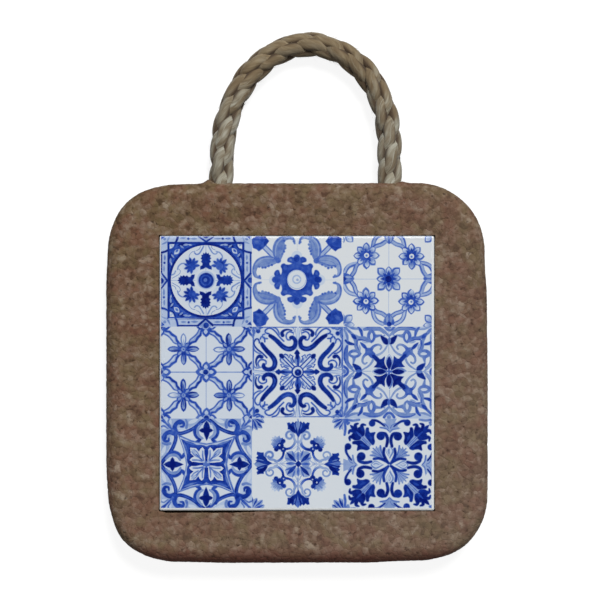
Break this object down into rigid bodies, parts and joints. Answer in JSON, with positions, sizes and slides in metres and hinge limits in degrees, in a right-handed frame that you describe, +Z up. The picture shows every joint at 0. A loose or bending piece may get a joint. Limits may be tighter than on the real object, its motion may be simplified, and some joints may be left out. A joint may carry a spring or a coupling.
{
  "type": "cork trivet with azulejo tile",
  "caption": "Square cork trivet with rounded corners, a blue and white azulejo tile let into its top and a rope loop at one edge, for hot pots and for hanging up.",
  "frame": {"origin": "middle of the cork base's underside", "axes": "+Z up out of the tile's glazed face, +Y toward the rope loop, +X to the right seen from above"},
  "size_m": [0.21, 0.2935, 0.0258],
  "materials": {
    "cork": "matte agglomerated cork",
    "glazed_tile": "glossy glaze",
    "rope": "natural fibre"
  },
  "bodies": {
    "root": {"cork_base": "cork", "azulejo_tile": "glazed_tile", "rope_handle": "rope"}
  },
  "joints": []
}
